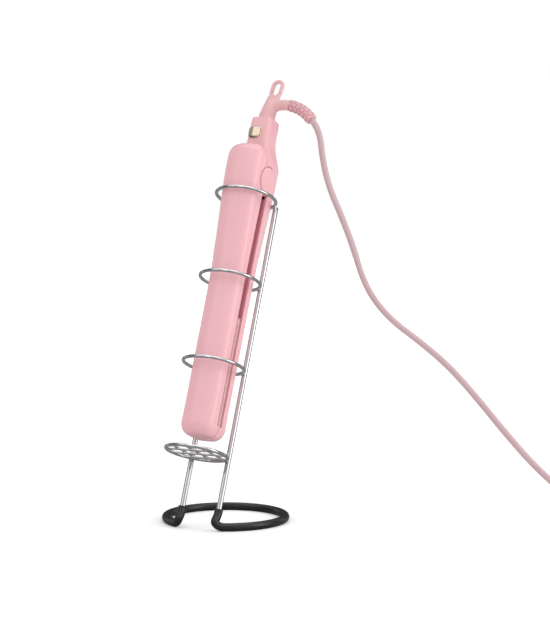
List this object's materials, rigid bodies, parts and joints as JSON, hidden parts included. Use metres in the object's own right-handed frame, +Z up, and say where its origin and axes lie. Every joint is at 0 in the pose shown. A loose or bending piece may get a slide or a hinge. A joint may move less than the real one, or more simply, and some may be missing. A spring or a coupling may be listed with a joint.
{
  "type": "hair straightener in a wire stand",
  "caption": "Two-arm hair straightener with a swivel cord outlet, resting in a leaning chrome wire stand with holding rings, a mesh rest and a rubber-sleeved base hoop.",
  "frame": {"origin": "on the floor, at the middle of the footprint of the stand and straightener together (the free cord isn't counted)", "axes": "+Z up from the floor; +Y towards the back, the way the stand leans; -Y is the open front of the rings; +X to the right as seen from the front; X = 0 is the middle plane"},
  "size_m": [0.4606, 0.1645, 0.3808],
  "materials": {
    "pink_shell": "satin",
    "slot_pink": "matte",
    "plate_coating": "satin",
    "soft_pink": "matte",
    "cord_pink": "matte",
    "gold_button": "metallic",
    "olive_plastic": "gloss",
    "chrome_rod": "polished",
    "steel_rod": "bare",
    "black_rubber": "satin",
    "small_steel": "bare",
    "heater_white": "matte",
    "dark_plastic": "matte",
    "wire_white": "matte",
    "board_green": "satin",
    "tie_dark": "matte",
    "plug_nickel": "polished"
  },
  "bodies": {
    "stand": {"base_hoop": "steel_rod", "hoop_sleeve": "black_rubber", "left_leg": "chrome_rod", "right_leg": "chrome_rod", "lower_ring": "chrome_rod", "middle_ring": "chrome_rod", "top_ring": "chrome_rod", "rest_ring": "chrome_rod", "rest_mesh": "chrome_rod"},
    "rear_arm": {"rear_outer_shell": "pink_shell", "rear_inner_cover": "slot_pink", "rear_cover_screws": "small_steel", "rear_heating_plate": "plate_coating", "rear_heater": "heater_white", "rear_heater_clip": "small_steel", "rear_plate_carrier": "dark_plastic", "rear_heater_wires": "wire_white", "thermal_fuse": "wire_white", "temperature_sensor": "dark_plastic", "hinge_block": "dark_plastic", "hinge_pin": "small_steel", "opening_spring": "small_steel", "tail_housing": "pink_shell", "button_bezel": "olive_plastic", "push_switch": "dark_plastic", "control_board": "board_green", "supply_wires": "wire_white", "cord_lead": "cord_pink", "cord_coil": "cord_pink", "cord_tail": "cord_pink", "coil_tie": "tie_dark", "plug_body": "soft_pink", "plug_pins": "plug_nickel"},
    "front_arm": {"front_outer_shell": "pink_shell", "front_inner_cover": "slot_pink", "front_cover_screws": "small_steel", "front_plate_carrier": "dark_plastic", "front_plate_springs": "small_steel", "front_heater_wires": "wire_white", "hinge_cheek_left": "pink_shell", "hinge_cheek_right": "pink_shell", "hinge_cap_left": "pink_shell", "hinge_cap_right": "pink_shell"},
    "floating_plate": {"front_heating_plate": "plate_coating", "front_heater": "heater_white", "front_heater_clip": "small_steel"},
    "power_button": {"power_button": "gold_button"},
    "swivel": {"swivel_elbow": "soft_pink", "hanging_loop": "soft_pink", "strain_relief": "soft_pink"}
  },
  "joints": [
    {"name": "iron_lift", "type": "slide", "parent": "stand", "child": "rear_arm", "axis": [0, 0.3746, 0.9272], "range_m": [0, 0.25]},
    {"name": "jaw_hinge", "type": "hinge", "parent": "rear_arm", "child": "front_arm", "pos_m": [0, 0.03662, 0.2893], "axis": [-1, 0, 0], "range_deg": [0, 2.8]},
    {"name": "plate_float", "type": "slide", "parent": "front_arm", "child": "floating_plate", "axis": [0, -0.9272, 0.3746], "range_m": [0, 0.0008], "stiffness_N_per_m": 2000, "springref_m": -0.0005, "deforming": ["front_plate_springs"]},
    {"name": "button_press", "type": "slide", "parent": "rear_arm", "child": "power_button", "axis": [0, 0.9272, -0.3746], "range_m": [0, 0.0007], "stiffness_N_per_m": 800, "springref_m": -0.0005},
    {"name": "cord_swivel", "type": "hinge", "parent": "rear_arm", "child": "swivel", "pos_m": [0, 0.06504, 0.34361], "axis": [0, 0.3746, 0.9272], "continuous": true}
  ]
}
